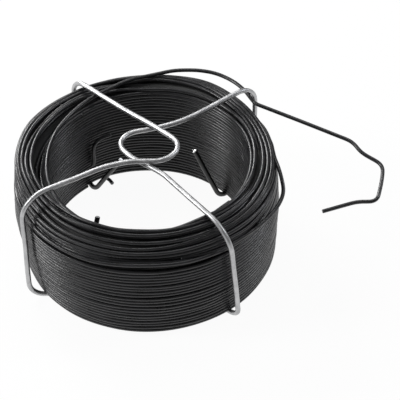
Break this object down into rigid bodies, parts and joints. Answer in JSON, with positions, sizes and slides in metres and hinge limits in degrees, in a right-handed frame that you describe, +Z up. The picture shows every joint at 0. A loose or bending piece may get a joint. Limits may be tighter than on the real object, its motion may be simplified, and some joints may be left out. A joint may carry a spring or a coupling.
{
  "type": "coil of binding wire",
  "caption": "Coil of dark annealed binding wire lying flat, held by bent galvanised wire clips looped over its bore, with its cut free end sprung out to one side.",
  "frame": {"origin": "on the floor, on the coil's axis", "axes": "+Z up along the coil's axis, +X towards the free end, the viewer of the picture stands at -Y"},
  "size_m": [0.1299, 0.0926, 0.0489],
  "materials": {
    "annealed_wire": "satin",
    "galvanised_wire": "satin"
  },
  "bodies": {
    "root": {"wire_coil": "annealed_wire", "free_end": "annealed_wire", "inner_end": "annealed_wire", "left_clip": "galvanised_wire", "right_clip": "galvanised_wire"}
  },
  "joints": []
}
